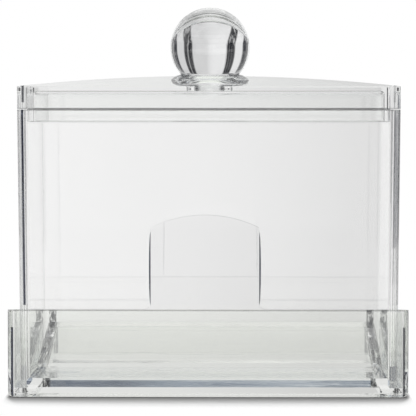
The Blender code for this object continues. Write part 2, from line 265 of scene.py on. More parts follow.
class SwabTraySizes(bpy.types.PropertyGroup):
    wall: length("Wall", "Thickness of the four outer walls", 0.0013)
    floor: length("Floor", "Height of the groove floor that the hopper stands over", 0.0022)
    rim_back: length("Back rim", "Height of the rim at the back", 0.0155)
    corner: length("Corner radius", "Radius of the upright corners", 0.0018)
    foot: length("Foot radius", "Radius along the foot of the walls", 0.0013)
    inner_corner: length("Inner corner radius", "Radius inside the upright corners", 0.0005)
    ramp_half_width: length("Ramp half width", "Half the width of the raised floor", 0.043425)
    ramp_wall: length("Ramp wall", "Thickness of the raised floor and its skirts", 0.0022)
    ramp_front_height: length("Ramp front height", "Height of the raised floor in front", 0.0046)
    ramp_back_height: length("Ramp back height", "Height of the raised floor at its back", 0.0125)
    ramp_back: length("Ramp back", "Where the raised floor ends at the back", 0.031978)
    ramp_flat: length("Level depth", "Depth of the level part, from the tray's front", 0.0285)
    ramp_bend: length("Bend radius", "Radius of the bend between level part and climb", 0.03)
    ramp_edge: length("Ramp edge radius", "Radius along the edges of the raised floor", 0.0008)
    edge: length("Edge radius", "Radius of the small moulded edges", 0.0002)
    bend_cuts: count("Bend cuts", "Number of cuts round the bend", 8)


class SwabHopperSizes(bpy.types.PropertyGroup):
    wall: length("Wall", "Thickness of the four walls", 0.0022)
    corner: length("Corner radius", "Radius of the upright corners", 0.0028)
    inner_corner: length("Inner corner radius", "Radius inside the upright corners", 0.0006)
    side_draft: angle("Side draft", "Lean of the sides and back", 0.54)
    front_draft: angle("Front draft", "Lean of the front", 0.80)
    mouth_half_width: length("Mouth half width", "Half the width of the outlet", 0.043725)
    mouth_height: length("Mouth height", "Height of the front wall's lower edge", 0.02)
    mouth_corner: length("Mouth corner", "Radius where outlet and window meet", 0.0015)
    window_width: length("Window width", "Width of the finger window", 0.0265)
    window_shoulder: length("Window shoulder", "Height where the window's arch starts", 0.04)
    window_crown: length("Window crown", "Height of the window's arch", 0.0431)
    window_offset: length("Window offset", "How far the window stands right of the middle", -0.0009)
    arch_steps: count("Arch steps", "Number of faces round the whole circle of the window's arch", 360)
    edge: length("Edge radius", "Radius of the small moulded edges", 0.0003)


class SwabLidSizes(bpy.types.PropertyGroup):
    seat: length("Seat height", "Height of the joint line under the lid", 0.069)
    roof_top: length("Roof height", "Height of the flat roof's top", 0.0745)
    roof: length("Roof", "Thickness of the flat roof", 0.0011)
    upstand: length("Upstand", "Thickness of the arched walls over the roof", 0.0022)
    corner: length("Corner radius", "Radius of the upright corners", 0.0028)
    flange_inset: length("Flange inset", "How far the flange stands in from the outside", 0.0025)
    flange_wall: length("Flange wall", "Thickness of the locating flange", 0.00135)
    flange_corner: length("Flange corner", "Radius of the flange's upright corners", 0.0009)
    flange_edge: length("Flange edge radius", "Radius along the flange's foot", 0.0005)
    inner_corner: length("Inner radius", "Radius of the corners under the roof", 0.001)
    hole_radius: length("Hole radius", "Radius of the hole for the knob's spigot", 0.0059)
    hole_steps: count("Hole steps", "Number of faces round the hole", 96)
    crest_steps: count("Crest steps", "Number of faces round the whole circle of the arched walls", 1440)
    edge: length("Edge radius", "Radius of the small moulded edges", 0.0002)


class SwabKnobSizes(bpy.types.PropertyGroup):
    ball_radius: length("Ball radius", "Radius of the ball", 0.0101)
    neck_radius: length("Neck radius", "Radius where ball and foot meet", 0.0074)
    foot_radius: length("Foot radius", "Radius of the lens-shaped foot", 0.00995)
    foot_lift: length("Foot lift", "Height of the foot's rim over the roof", 0.0015)
    foot_edge: length("Foot edge", "Half the thickness of the foot's rim", 0.0003)
    seat_radius: length("Seat radius", "Radius of the foot's flat seat", 0.0065)
    seat_gap: length("Seat gap", "Gap between the knob and the roof", 0.0003)
    spigot_radius: length("Spigot radius", "Radius of the spigot through the roof", 0.0056)
    head_radius: length("Head radius", "Radius of the staked head under the roof", 0.00805)
    edge: length("Edge radius", "Radius of the small moulded edges", 0.00012)
    bulge: share("Bulge", "How far the foot's faces swell, as a share of their length", 0.10)
    turn_steps: count("Steps round", "Number of faces round the knob", 144)
    ball_steps: count("Steps down", "Number of rings down the whole ball", 96)
    face_steps: count("Steps over a face", "Number of rings over each face of the foot", 8)
    head_steps: count("Steps over the head", "Number of rings over the staked head", 10)


class SwabFinish(bpy.types.PropertyGroup):
    tray_colour: colour("Tray", "Tint of the tray's plastic", (0.955, 0.962, 0.945))
    hopper_colour: colour("Hopper", "Tint of the hopper's plastic", (0.995, 0.995, 0.994))
    lid_colour: colour("Lid", "Tint of the lid's plastic", (0.957, 0.962, 0.957))
    knob_colour: colour("Knob", "Tint of the knob's plastic", (0.985, 0.988, 0.992))
    tray_wave: share("Tray marks", "How strongly the tray's flow marks show", 0.05)
    hopper_wave: share("Hopper marks", "How strongly the hopper's flow marks show", 0.04)
    lid_wave: share("Lid marks", "How strongly the lid's flow marks show", 0.04)
    knob_wave: share("Knob marks", "How strongly the knob's flow marks show", 0.02)
    refraction: number("Index of refraction", "How strongly the plastic bends light", 1.49)


class SwabStage(bpy.types.PropertyGroup):
    focal_pixels: number("Focal length", "Focal length in pixels of the picture", 2519)
    eye: FloatVectorProperty(
        name="Eye",
        description="Where the camera stands",
        default=(0.0079, -0.6365, 0.0694),
        subtype="XYZ",
        size=3,
    )
    turn: angle("Turn", "How far the camera turns to the left", 0.7506)
    tilt: angle("Tilt", "How far the camera looks down", 2.291)
    floor_size: length("Floor size", "Width of the floor", 1.6)
    shadow_reach: length("Shadow reach", "How far the contact shadow reaches ahead", 0.018)
    shadow_under: length("Shadow start", "How far under the tray's sides the shadow starts", 0.0004)
    shadow_draw: share("Shadow taper", "How much the shadow draws in with its way ahead", 0.30)
    shadow_side: share("Shadow beside", "Its spread sideways, as a share of its reach", 0.055)
    shadow_back: share("Shadow behind", "Its spread behind, as a share of its reach", 0.15)


def clear_selection():
    if bpy.context.object and bpy.context.object.mode != "OBJECT":
        bpy.ops.object.mode_set(mode="OBJECT")
    bpy.ops.object.select_all(action="DESELECT")


def activate(piece):
    clear_selection()
    piece.select_set(True)
    bpy.context.view_layer.objects.active = piece


def settle(piece):
    """Put a piece's place, turn and size into its mesh."""
    activate(piece)
    bpy.ops.object.transform_apply(location=True, rotation=True, scale=True)


def add_block(name, low, high):
    """A block between two corners."""
    clear_selection()
    low, high = Vector(low), Vector(high)
    bpy.ops.mesh.primitive_cube_add(size=1, location=(low + high) / 2)
    block = bpy.context.object
    block.name = name
    block.scale = high - low
    settle(block)
    return block


def add_roller(name, radius, near, far, x, z, sides):
    """A cylinder that lies along Y."""
    clear_selection()
    bpy.ops.mesh.primitive_cylinder_add(
        vertices=sides,
        radius=radius,
        depth=far - near,
        location=(x, (near + far) / 2, z),
        rotation=(QUARTER_TURN, 0, 0),
    )
    roller = bpy.context.object
    roller.name = name
    settle(roller)
    return roller


def pick(piece, kind, wanted):
    """Go into edit mode with the points or edges selected whose places the test wants."""
    activate(piece)
    bpy.ops.object.mode_set(mode="EDIT")
    bpy.ops.mesh.select_mode(type=kind)
    bpy.ops.mesh.select_all(action="DESELECT")
    bpy.ops.object.mode_set(mode="OBJECT")
    points = piece.data.vertices
    if kind == "VERT":
        for point in points:
            point.select = wanted(point.co)
    else:
        for edge in piece.data.edges:
            edge.select = wanted(*(points[index].co for index in edge.vertices))
    bpy.ops.object.mode_set(mode="EDIT")


def leave():
    bpy.ops.object.mode_set(mode="OBJECT")


def shift(piece, offset, wanted):
    pick(piece, "VERT", wanted)
    bpy.ops.transform.translate(value=offset)
    leave()


def round_edges(piece, radius, wanted, segments):
    pick(piece, "EDGE", wanted)
    bpy.ops.mesh.bevel(offset=radius, offset_type="OFFSET", segments=segments, profile=0.5, affect="EDGES")
    leave()


def upright(a, b):
    """An edge that rises far more than it runs."""
    run = math.hypot(a.x - b.x, a.y - b.y)
    return abs(a.z - b.z) > run * UPRIGHT_RISE


def level_at(height):
    return lambda a, b: abs(a.z - height) < TINY and abs(b.z - height) < TINY


def combine(piece, tool, operation):
    """Cut, join or keep the overlap with a tool, which is then gone."""
    activate(piece)
    bpy.ops.object.modifier_add(type="BOOLEAN")
    modifier = piece.modifiers[-1]
    modifier.operation = operation
    modifier.solver = "EXACT"
    modifier.object = tool
    bpy.ops.object.modifier_apply(modifier=modifier.name)
    bpy.data.objects.remove(tool)


def soften(piece, radius):
    """Clean the mesh, round its small edges and keep its flat faces flat in the shading."""
    activate(piece)
    bpy.ops.object.mode_set(mode="EDIT")
    bpy.ops.mesh.select_all(action="SELECT")
    bpy.ops.mesh.remove_doubles(threshold=MERGE_DISTANCE)
    bpy.ops.mesh.dissolve_limited(angle_limit=FLAT_ANGLE)
    bpy.ops.mesh.normals_make_consistent(inside=False)
    leave()
    bpy.ops.object.modifier_add(type="BEVEL")
    modifier = piece.modifiers[-1]
    modifier.width = radius
    modifier.segments = EDGE_SEGMENTS
    modifier.limit_method = "ANGLE"
    modifier.angle_limit = SHARP_ANGLE
    modifier.miter_outer = "MITER_ARC"
    bpy.ops.object.modifier_apply(modifier=modifier.name)
    bpy.ops.object.shade_smooth_by_angle(angle=SHARP_ANGLE)
    bpy.ops.object.modifier_add(type="WEIGHTED_NORMAL")
    modifier = piece.modifiers[-1]
    modifier.keep_sharp = True
    bpy.ops.object.modifier_apply(modifier=modifier.name)


def dress(piece, name, node, body, material):
    """Name a finished piece, give it its plastic and put it in its CAD node's place."""
    piece.name = name
    piece.data.name = name
    piece.data.materials.clear()
    piece.data.materials.append(material)
    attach(piece, body)
    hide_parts(node)


class Wire:
    """A shader socket that takes part in sums, so that shader maths reads as maths."""

    def __init__(self, tree, socket):
        self.tree = tree
        self.socket = socket

    def maths(self, operation, first, second):
        node = self.tree.add("ShaderNodeMath", {"operation": operation}, {0: first, 1: second})
        return Wire(self.tree, node.outputs[0])

    def __add__(self, other):
        return self.maths("ADD", self, other)

    def __radd__(self, other):
        return self.maths("ADD", other, self)

    def __sub__(self, other):
        return self.maths("SUBTRACT", self, other)

    def __rsub__(self, other):
        return self.maths("SUBTRACT", other, self)

    def __mul__(self, other):
        return self.maths("MULTIPLY", self, other)

    def __rmul__(self, other):
        return self.maths("MULTIPLY", other, self)

    def __truediv__(self, other):
        return self.maths("DIVIDE", self, other)

    def __rtruediv__(self, other):
        return self.maths("DIVIDE", other, self)

    def __pow__(self, other):
        return self.maths("POWER", self, other)

    def __gt__(self, other):
        return self.maths("GREATER_THAN", self, other)

    def __lt__(self, other):
        return self.maths("LESS_THAN", self, other)

    def most(self, other):
        return self.maths("MAXIMUM", self, other)

    def __abs__(self):
        return self.maths("ABSOLUTE", self, 0)


class Tree:
    """A node tree being filled: one method adds any node."""

    def __init__(self, owner):
        owner.use_nodes = True
        self.nodes = owner.node_tree.nodes
        self.links = owner.node_tree.links
        self.nodes.clear()

    def add(self, kind, settings=None, sockets=None):
        """Add a node: its settings first, a ramp's stops among them, then values or links."""
        node = self.nodes.new(kind)
        for name, value in (settings or {}).items():
            if name == "stops":
                self.set_stops(node.color_ramp, value)
            else:
                setattr(node, name, value)
        for name, value in (sockets or {}).items():
            if isinstance(value, Wire):
                self.links.new(value.socket, node.inputs[name])
            else:
                node.inputs[name].default_value = value
        return node

    def set_stops(self, ramp, stops):
        while len(ramp.elements) > 1:
            ramp.elements.remove(ramp.elements[-1])
        ramp.elements[0].position = stops[0][0]
        for position, _ in stops[1:]:
            ramp.elements.new(position)
        for element, (_, shade) in zip(ramp.elements, stops):
            element.color = (*shade, 1) if isinstance(shade, (tuple, list)) else (shade, shade, shade, 1)

    def wire(self, kind, settings=None, sockets=None, output=0):
        return Wire(self, self.add(kind, settings, sockets).outputs[output])

    def ramp(self, factor, stops):
        return self.wire("ShaderNodeValToRGB", {"stops": stops}, {"Fac": factor}, "Color")

    def mix(self, factor, first, second):
        return self.wire("ShaderNodeMix", {"data_type": "RGBA"}, {0: factor, 6: first, 7: second}, 2)

    def tint(self, first, second):
        """Two colours multiplied."""
        settings = {"data_type": "RGBA", "blend_type": "MULTIPLY"}
        return self.wire("ShaderNodeMix", settings, {0: 1, 6: first, 7: second}, 2)

    def axes(self, vector):
        parts = self.add("ShaderNodeSeparateXYZ", None, {0: vector})
        return [Wire(self, output) for output in parts.outputs]

    def light(self, name):
        """What the light path says of a ray."""
        return self.wire("ShaderNodeLightPath", output=name)

    def object_place(self):
        return self.wire("ShaderNodeTexCoord", output="Object")

    def stretched(self, coordinates, scale):
        return self.wire("ShaderNodeMapping", None, {"Vector": coordinates, "Scale": scale})

    def noise(self, vector, scale, detail):
        sockets = {"Vector": vector, "Scale": scale, "Detail": detail}
        return self.wire("ShaderNodeTexNoise", None, sockets, "Fac")


def rgba(shade):
    return (*shade, 1)


def darker(shade, by):
    return tuple(channel * by for channel in shade)


def clear_plastic(name, tint, refraction, stretch, wave, painted_shade):
    """Polished clear moulding: faint flow marks in tint, gloss and surface, stretched with the flow.

    The last argument is a function of the tree and its axes that gives a mask of painted shade at joints and
    edges.
    """
    material = bpy.data.materials.new(name)
    tree = Tree(material)
    place = tree.object_place()
    flow = tree.noise(tree.stretched(place, stretch), FLOW_SCALE, 3)
    cloud = tree.noise(place, CLOUD_SCALE, 2)
    finer = tuple(axis * GRAIN_FINER for axis in stretch)
    grain = tree.noise(tree.stretched(place, finer), GRAIN_SCALE, 2)
    marked = tree.mix(flow, rgba(darker(tint, FLOW_SHADE)), rgba(tint))
    # Where the painted shade's mask is set, the tint turns nearly black
    base = tree.mix(painted_shade(tree, *tree.axes(place)), marked, rgba(PAINTED_SHADE_COLOUR))
    height = flow * FLOW_HEIGHT + grain * (1 - FLOW_HEIGHT)
    bump = tree.wire(
        "ShaderNodeBump", None, {"Strength": wave, "Distance": MARK_DEPTH, "Height": height}
    )
    shader = tree.add(
        "ShaderNodeBsdfPrincipled",
        None,
        {
            "Base Color": base,
            "Roughness": cloud * CLOUD_ROUGHNESS,
            "IOR": refraction,
            "Transmission Weight": 1,
            "Normal": bump,
        },
    )
    tree.add("ShaderNodeOutputMaterial", None, {"Surface": Wire(tree, shader.outputs[0])})
    return material


def corner_line(x, y, from_side, front, line):
    """A mask of painted shade, an upright dark line near both front corners; the line is its inset and two
    strengths.
    """
    inset, left, right = line
    width = (abs(from_side - inset) < CORNER_LINE_HALF) * (y < front)
    return width * ((x < 0) * (left - right) + right)


def ramp_cuts(sizes):
    """The raised floor's top as (y, z) places: level in front, round a bend, then an even climb."""
    bend_y = TRAY_LOW.y + sizes.ramp_flat
    slope = math.atan2(sizes.ramp_back_height - sizes.ramp_front_height, sizes.ramp_back - bend_y)
    start = bend_y - sizes.ramp_bend * math.tan(slope / 2)
    cuts = []
    for step in range(sizes.bend_cuts + 1):
        turn = slope * step / sizes.bend_cuts
        y = start + sizes.ramp_bend * math.sin(turn)
        z = sizes.ramp_front_height + sizes.ramp_bend * (1 - math.cos(turn))
        cuts.append((y, z))
    last_z = cuts[-1][1] + math.tan(slope) * (sizes.ramp_back - cuts[-1][0])
    return cuts, slope, last_z


def add_ramp(name, sizes, half_width, near, far, drop, base):
    """A block with the raised floor's bent top, lowered by the drop."""
    cuts, slope, last_z = ramp_cuts(sizes)
    top = sizes.ramp_front_height - drop
    ramp = add_block(name, (-half_width, near, base), (half_width, far, top))
    activate(ramp)
    bpy.ops.object.mode_set(mode="EDIT")
    for y, _ in cuts:
        bpy.ops.mesh.select_all(action="SELECT")
        bpy.ops.mesh.bisect(plane_co=(0, y, 0), plane_no=(0, 1, 0), threshold=MERGE_DISTANCE)
    leave()
    far_z = last_z + math.tan(slope) * (far - sizes.ramp_back)
    for y, z in [*cuts, (far, far_z)]:
        lift = z - sizes.ramp_front_height
        shift(ramp, (0, 0, lift), lambda p: abs(p.y - y) < TINY and abs(p.z - top) < TINY)

    def outer(a, b):
        high = min(a.z, b.z) > base + TINY
        along_side = abs(abs(a.x) - half_width) < TINY and abs(a.x - b.x) < TINY
        at_back = abs(a.y - far) < TINY and abs(b.y - far) < TINY
        return (along_side and high) or (at_back and (high or upright(a, b)))

    round_edges(ramp, sizes.ramp_edge, outer, segments=5)
    return ramp


class SWAB_OT_make_tray(bpy.types.Operator):
    """Make the tray: four walls, and a raised floor that climbs between two grooves"""

    bl_idname = "swab_holder.make_tray"
    bl_label = "Make Tray"

    def execute(self, context):
        sizes = context.scene.swab_tray
        finish = context.scene.swab_finish
        tray = add_block("tray_work", TRAY_LOW, TRAY_HIGH)
        shift(tray, (0, 0, sizes.rim_back - TRAY_HIGH.z), lambda p: p.z > TRAY_HIGH.z / 2 and p.y > 0)
        round_edges(tray, sizes.corner, upright, segments=10)
        round_edges(tray, sizes.foot, level_at(TRAY_LOW.z), segments=7)

        wall = sizes.wall
        low = (TRAY_LOW.x + wall, TRAY_LOW.y + wall, sizes.floor)
        high = (TRAY_HIGH.x - wall, TRAY_HIGH.y - wall, TRAY_HIGH.z + OVERRUN)
        well = add_block("well_work", low, high)
        round_edges(well, sizes.inner_corner, upright, segments=5)
        combine(tray, well, "DIFFERENCE")

        half_width = sizes.ramp_half_width
        ramp = add_ramp(
            "ramp_work", sizes, half_width, TRAY_LOW.y + wall / 2, sizes.ramp_back, 0, sizes.floor / 2
        )
        combine(tray, ramp, "UNION")
        skirt = sizes.ramp_wall
        pocket = add_ramp(
            "pocket_work",
            sizes,
            half_width - skirt,
            TRAY_LOW.y + wall,
            sizes.ramp_back - skirt,
            skirt,
            -OVERRUN,
        )
        combine(tray, pocket, "DIFFERENCE")
        soften(tray, sizes.edge)

        def painted_shade(tree, x, y, z):
            """Painted shade: a dark rim and dark corner lines in front, and dark streaks along the ramp's
            sides.
            """
            in_rim = z > TRAY_HIGH.z - SHADE_LINE_WIDTH * RIM_SHADE_LINES
            rim = (y < TRAY_LOW.y + wall * RIM_WALLS) * in_rim * RIM_STRENGTH
            line = corner_line(x, y, TRAY_HIGH.x - abs(x), TRAY_LOW.y + wall * LINE_WALLS, TRAY_LINE)
            line = line * (z < TRAY_HIGH.z * LINE_TRAYS)
            within = (half_width - abs(x)) / skirt
            across = tree.ramp(within * 0.5 + 0.5, RAMP_SHADE_ACROSS)
            behind_front = y > TRAY_LOW.y + wall * RAMP_SHADE_WALLS
            ramp_side_shade = across * behind_front * (z > sizes.ramp_front_height * RAMP_SHADE_RAMPS)
            streaks = tree.noise(tree.stretched(tree.object_place(), RAMP_SHADE_STRETCH), RAMP_SHADE_SCALE, 3)
            return rim.most(line).most(ramp_side_shade * tree.ramp(streaks, RAMP_SHADE_STREAKS))

        material = clear_plastic(
            "tray_plastic", finish.tray_colour, finish.refraction, ALONG_X, finish.tray_wave, painted_shade
        )
        dress(tray, "clear_tray", "tray", "stand", material)
        return {"FINISHED"}


def add_drafted(name, sizes, inset, low_z, high_z):
    """A block whose sides lean with the hopper's draft, set in from its outside."""
    lean = math.tan(sizes.side_draft)
    front_lean = math.tan(sizes.front_draft)

    def outline(z):
        below = HOPPER_HIGH.z - z
        half = HOPPER_HIGH.x - lean * below - inset
        front = HOPPER_LOW.y + front_lean * below + inset
        back = HOPPER_HIGH.y - lean * below - inset
        return half, front, back

    half, front, back = outline(low_z)
    top_half, top_front, top_back = outline(high_z)
    block = add_block(name, (-half, front, low_z), (half, back, high_z))
    middle_z = (low_z + high_z) / 2
    middle_y = (front + back) / 2
    shift(block, (top_half - half, 0, 0), lambda p: p.z > middle_z and p.x > 0)
    shift(block, (half - top_half, 0, 0), lambda p: p.z > middle_z and p.x < 0)
    shift(block, (0, top_front - front, 0), lambda p: p.z > middle_z and p.y < middle_y)
    shift(block, (0, top_back - back, 0), lambda p: p.z > middle_z and p.y > middle_y)
    return block


class SWAB_OT_make_hopper(bpy.types.Operator):
    """Make the hopper: four leaning walls, with an outlet and an arched finger window in front"""

    bl_idname = "swab_holder.make_hopper"
    bl_label = "Make Hopper"

    def execute(self, context):
        sizes = context.scene.swab_hopper
        finish = context.scene.swab_finish
        hopper = add_drafted("hopper_work", sizes, 0, HOPPER_LOW.z, HOPPER_HIGH.z)
        round_edges(hopper, sizes.corner, upright, segments=12)
        inside = add_drafted(
            "inside_work", sizes, sizes.wall, HOPPER_LOW.z - OVERRUN, HOPPER_HIGH.z + OVERRUN
        )
        round_edges(inside, sizes.inner_corner, upright, segments=5)
        combine(hopper, inside, "DIFFERENCE")

        near = HOPPER_LOW.y - OVERRUN
        far = HOPPER_LOW.y + sizes.wall + sizes.corner + OVERRUN / 4
        top = sizes.mouth_height
        half = sizes.mouth_half_width
        mouth = add_block("mouth_work", (-half, near, -OVERRUN), (half, far, top))
        left = sizes.window_offset - sizes.window_width / 2
        right = sizes.window_offset + sizes.window_width / 2
        window = add_block("window_work", (left, near, top / 2), (right, far, sizes.window_crown + OVERRUN))
        rise = sizes.window_crown - sizes.window_shoulder
        radius = ((sizes.window_width / 2) ** 2 + rise**2) / (2 * rise)
        crown_z = sizes.window_crown - radius
        arch = add_roller(
            "arch_work",
            radius,
            near - OVERRUN,
            far + OVERRUN,
            sizes.window_offset,
            crown_z,
            sizes.arch_steps,
        )
        combine(window, arch, "INTERSECT")
        combine(mouth, window, "UNION")

        def notch(a, b):
            level = abs(a.z - top) < TINY and abs(b.z - top) < TINY
            sides = [side for side in (left, right) if abs(a.x - side) < TINY and abs(b.x - side) < TINY]
            return level and bool(sides)

        round_edges(mouth, sizes.mouth_corner, notch, segments=6)
        combine(hopper, mouth, "DIFFERENCE")
        soften(hopper, sizes.edge)

        def painted_shade(tree, x, y, z):
            """Painted shade: a dark rim, dark slivers at the window's sides, and a dark line near each front
            corner.
            """
            below = HOPPER_HIGH.z - z
            rim = tree.ramp(below / SHADE_LINE_WIDTH, JOINT_FADE)
            middle = (sizes.window_shoulder + sizes.mouth_height) / 2
            reach = (sizes.window_shoulder - sizes.mouth_height) * SLIVER_REACH
            swell = (1 - ((z - middle) / reach) ** 2).most(0) ** 0.5
            from_window = abs(abs(x - sizes.window_offset) - sizes.window_width / 2)
            front_face = below * math.tan(sizes.front_draft) + HOPPER_LOW.y
            sliver = (from_window < swell * SHADE_LINE_WIDTH * SLIVER_SHADE_LINES) * (y < front_face + SHADE_LINE_WIDTH)
            from_side = HOPPER_HIGH.x - below * math.tan(sizes.side_draft) - abs(x)
            front = HOPPER_LOW.y + sizes.wall * 2
            left_line, right_line = (corner_line(x, y, from_side, front, line) for line in HOPPER_LINES)
            return rim.most(sliver).most(left_line.most(right_line) * (z > TRAY_HIGH.z))

        material = clear_plastic(
            "hopper_plastic",
            finish.hopper_colour,
            finish.refraction,
            ALONG_Z,
            finish.hopper_wave,
            painted_shade,
        )
        dress(hopper, "clear_hopper", "hopper", "stand", material)
        return {"FINISHED"}


class SWAB_OT_make_lid(bpy.types.Operator):
    """Make the lid: a flat roof between arched walls, over a locating flange"""

    bl_idname = "swab_holder.make_lid"
    bl_label = "Make Lid"

    def execute(self, context):
        sizes = context.scene.swab_lid
        finish = context.scene.swab_finish
        low = Vector((LID_LOW.x, LID_LOW.y, sizes.seat))
        lid = add_block("lid_work", low, LID_HIGH)
        round_edges(lid, sizes.corner, upright, segments=12)
        half = LID_HIGH.x
        rise = LID_HIGH.z - sizes.roof_top
        radius = (half**2 + rise**2) / (2 * rise)
        crest = add_roller(
            "crest_work",
            radius,
            LID_LOW.y - OVERRUN,
            LID_HIGH.y + OVERRUN,
            0,
            LID_HIGH.z - radius,
            sizes.crest_steps,
        )
        combine(lid, crest, "INTERSECT")
        above = LID_HIGH.z + OVERRUN
        well = add_block(
            "roof_work",
            (-half - OVERRUN, LID_LOW.y + sizes.upstand, sizes.roof_top),
            (half + OVERRUN, LID_HIGH.y - sizes.upstand, above),
        )
        combine(lid, well, "DIFFERENCE")

        def inset_block(name, inset, bottom, top):
            return add_block(
                name,
                (LID_LOW.x + inset, LID_LOW.y + inset, bottom),
                (LID_HIGH.x - inset, LID_HIGH.y - inset, top),
            )

        flange_top = (sizes.seat + sizes.roof_top) / 2
        flange = inset_block("flange_work", sizes.flange_inset, LID_LOW.z, flange_top)
        round_edges(flange, sizes.flange_corner, upright, segments=6)
        round_edges(flange, sizes.flange_edge, level_at(LID_LOW.z), segments=4)
        combine(lid, flange, "UNION")
        roof_under = sizes.roof_top - sizes.roof
        cavity = inset_block(
            "cavity_work", sizes.flange_inset + sizes.flange_wall, LID_LOW.z - OVERRUN, roof_under
        )
        round_edges(cavity, sizes.inner_corner, upright, segments=6)
        round_edges(cavity, sizes.inner_corner * ROOF_CORNER_SHARE, level_at(roof_under), segments=5)
        combine(lid, cavity, "DIFFERENCE")
        clear_selection()
        bpy.ops.mesh.primitive_cylinder_add(
            vertices=sizes.hole_steps,
            radius=sizes.hole_radius,
            depth=OVERRUN,
            location=(0, KNOB_Y, sizes.roof_top),
        )
        hole = bpy.context.object
        settle(hole)
        combine(lid, hole, "DIFFERENCE")
        soften(lid, sizes.edge)

        def painted_shade(tree, x, y, z):
            """Painted shade: a dark line at the joint, one along the flange's foot, and one near each front
            corner.
            """
            joint = tree.ramp(abs(z - sizes.seat) / SHADE_LINE_WIDTH, JOINT_FADE)
            foot = tree.ramp((z - LID_LOW.z) / SHADE_LINE_WIDTH, FLANGE_FADE)
            line = corner_line(x, y, half - abs(x), LID_LOW.y + sizes.upstand, LID_LINE)
            return joint.most(foot).most(line * (z > sizes.seat + LID_LINE_LIFT))

        material = clear_plastic(
            "lid_plastic", finish.lid_colour, finish.refraction, ALONG_X, finish.lid_wave, painted_shade
        )
        dress(lid, "clear_lid", "lid", "cover", material)
        return {"FINISHED"}


def swelling(start, end, bulge, steps):
    """Places from start to end, excluding start, that swell to the left of the way."""
    along_r = end[0] - start[0]
    along_z = end[1] - start[1]
    places = []
    for step in range(1, steps + 1):
        t = step / steps
        swell = bulge * 4 * t * (1 - t)
        places.append((start[0] + along_r * t - along_z * swell, start[1] + along_z * t + along_r * swell))
    return places


def knob_rings(sizes, roof_top, roof_under):
    """The knob's outline below its neck as (radius, z) rings, down to its head's middle."""
    rim_z = roof_top + sizes.foot_lift
    seat_z = roof_top + sizes.seat_gap
    head_z = roof_under - sizes.seat_gap
    head_drop = head_z - KNOB_LOW.z
    ball_z = KNOB_HIGH.z - sizes.ball_radius
    neck_z = ball_z - math.sqrt(sizes.ball_radius**2 - sizes.neck_radius**2)
    foot = sizes.foot_radius
    upper = (foot, rim_z + sizes.foot_edge)
    lower = (foot, rim_z - sizes.foot_edge)
    rings = swelling((sizes.neck_radius, neck_z), upper, sizes.bulge, sizes.face_steps)
    rings += swelling(lower, (sizes.seat_radius, seat_z), sizes.bulge, sizes.face_steps)
    rings.append((sizes.spigot_radius, seat_z))
    rings.append((sizes.spigot_radius, head_z))
    for step in range(sizes.head_steps):
        t = step / sizes.head_steps
        rings.append((sizes.head_radius * (1 - t), head_z - head_drop * (1 - (1 - t) ** 2)))
    return neck_z, rings


class SWAB_OT_make_knob(bpy.types.Operator):
    """Make the knob: a ball on a lens-shaped foot, with a spigot staked under the roof"""

    bl_idname = "swab_holder.make_knob"
    bl_label = "Make Knob"

    def execute(self, context):
        sizes = context.scene.swab_knob
        lid_sizes = context.scene.swab_lid
        finish = context.scene.swab_finish
        clear_selection()
        bpy.ops.mesh.primitive_uv_sphere_add(
            segments=sizes.turn_steps,
            ring_count=sizes.ball_steps,
            radius=sizes.ball_radius,
            location=(0, KNOB_Y, KNOB_HIGH.z - sizes.ball_radius),
        )
        knob = bpy.context.object
        settle(knob)
        roof_top = lid_sizes.roof_top
        neck_z, rings = knob_rings(sizes, roof_top, roof_top - lid_sizes.roof)
        bpy.ops.object.mode_set(mode="EDIT")
        bpy.ops.mesh.select_all(action="SELECT")
        bpy.ops.mesh.bisect(
            plane_co=(0, 0, neck_z), plane_no=(0, 0, 1), clear_inner=True, threshold=MERGE_DISTANCE
        )
        leave()
        pick(knob, "EDGE", level_at(neck_z))
        radius, z = sizes.neck_radius, neck_z
        for next_radius, next_z in rings:
            bpy.ops.mesh.extrude_edges_move(TRANSFORM_OT_translate={"value": (0, 0, next_z - z)})
            factor = next_radius / radius
            bpy.ops.transform.resize(value=(factor, factor, 1), center_override=(0, KNOB_Y, next_z))
            radius, z = next_radius, next_z
        bpy.ops.mesh.extrude_edges_move(TRANSFORM_OT_translate={"value": (0, 0, KNOB_LOW.z - z)})
        bpy.ops.mesh.merge(type="CENTER")
        leave()
        soften(knob, sizes.edge)

        def painted_shade(tree, x, y, z):
            """Painted shade: swirls in the foot's sides, in place of refracted dark, and patches where the
            spigot fits the roof.
            """
            swirls = tree.noise(tree.stretched(tree.object_place(), SWIRL_STRETCH), SWIRL_SCALE, 2)
            across = tree.ramp(abs(x) / sizes.foot_radius, SWIRLS_ACROSS)
            foot = (z < neck_z + SWIRL_OVERLAP) * (z > roof_top + sizes.foot_lift * 0.5)
            fit = tree.ramp(abs(x) / sizes.spigot_radius, FIT_ACROSS)
            spigot = (z < roof_top + sizes.seat_gap * 2) * (z > roof_top - FIT_DEPTH)
            return (foot * across * tree.ramp(swirls, SWIRLS)).most(spigot * fit)

        material = clear_plastic(
            "knob_plastic", finish.knob_colour, finish.refraction, EVEN, finish.knob_wave, painted_shade
        )
        dress(knob, "clear_knob", "knob", "cover", material)
        return {"FINISHED"}


